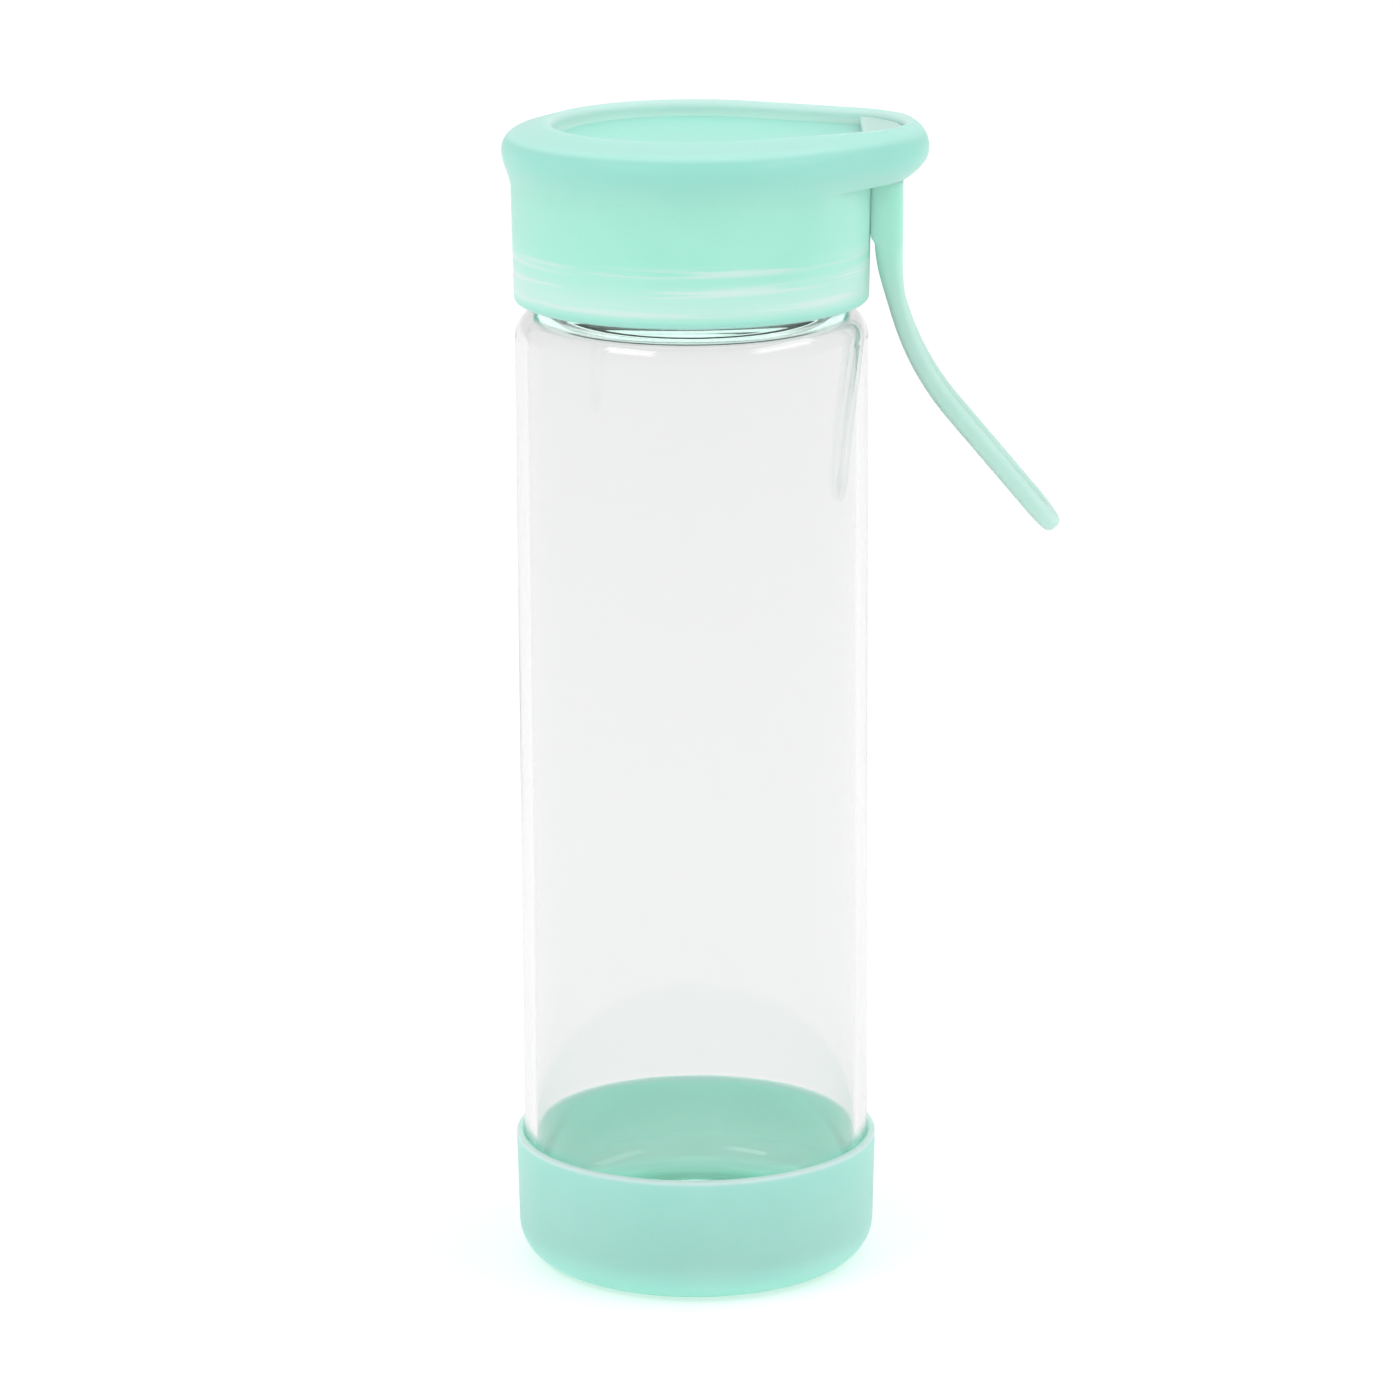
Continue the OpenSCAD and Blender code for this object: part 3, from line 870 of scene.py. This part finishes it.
def studio_floor():
    """Plain pale floor, with a glow that keeps it white up to the object."""
    half = 12.0
    mesh = bpy.data.meshes.new("floor")
    corners = [(-half, -half, 0), (half, -half, 0), (half, half, 0), (-half, half, 0)]
    mesh.from_pydata(corners, [], [(0, 1, 2, 3)])
    obj = bpy.data.objects.new("floor", mesh)
    bpy.context.scene.collection.objects.link(obj)
    paint = Surface("floor_paint")
    paint.set(Base_Color=(0.7, 0.7, 0.7, 1), Roughness=0.9, Specular_IOR_Level=0.1)
    paint.set(Emission_Color=(1, 1, 1, 1), Emission_Strength=0.4)
    mesh.materials.append(paint.material)


def area_light(name, location, target, size, power):
    """Rectangular light at a place in metres that shines at a target."""
    data = bpy.data.lights.new(name, "AREA")
    data.shape = "RECTANGLE"
    data.size, data.size_y = size
    data.energy = power
    obj = bpy.data.objects.new(name, data)
    obj.location = location
    obj.rotation_mode = "QUATERNION"
    obj.rotation_quaternion = (Vector(target) - Vector(location)).to_track_quat("-Z", "Y")
    bpy.context.scene.collection.objects.link(obj)


def studio():
    """White surroundings, a long light on each side in front, and a weak one above."""
    world = bpy.data.worlds.new("studio")
    world.use_nodes = True
    background = world.node_tree.nodes["Background"]
    background.inputs["Color"].default_value = (1, 1, 1, 1)
    background.inputs["Strength"].default_value = 0.85
    bpy.context.scene.world = world
    bpy.context.scene.view_settings.view_transform = "Standard"
    middle = (0, 0, 0.12)
    area_light("key", (-0.85, -0.77, 1.15), middle, (0.8, 0.35), 3.5)
    area_light("fill", (1.11, -0.28, 1.15), middle, (1.2, 0.35), 3.5)
    area_light("top", (0, 0.2, 1.4), middle, (1.2, 1.2), 0.5)


def camera():
    """Stands 1.2 m in front of the bottle and 0.18 m above its lid, and looks down at its middle."""
    offset_x, distance, height = 1.28, 1190.0, 411.8
    pitch, roll, lens = 13.95, -0.285, 156.96
    data = bpy.data.cameras.new("camera")
    data.lens = lens
    data.sensor_width = 36
    obj = bpy.data.objects.new("camera", data)
    turn = Matrix.Rotation(math.radians(90 - pitch), 4, "X") @ Matrix.Rotation(math.radians(roll), 4, "Z")
    obj.matrix_world = Matrix.Translation(Vector((offset_x, -distance, height)) * MM) @ turn
    bpy.context.scene.collection.objects.link(obj)
    bpy.context.scene.camera = obj


studio_floor()
studio()
camera()
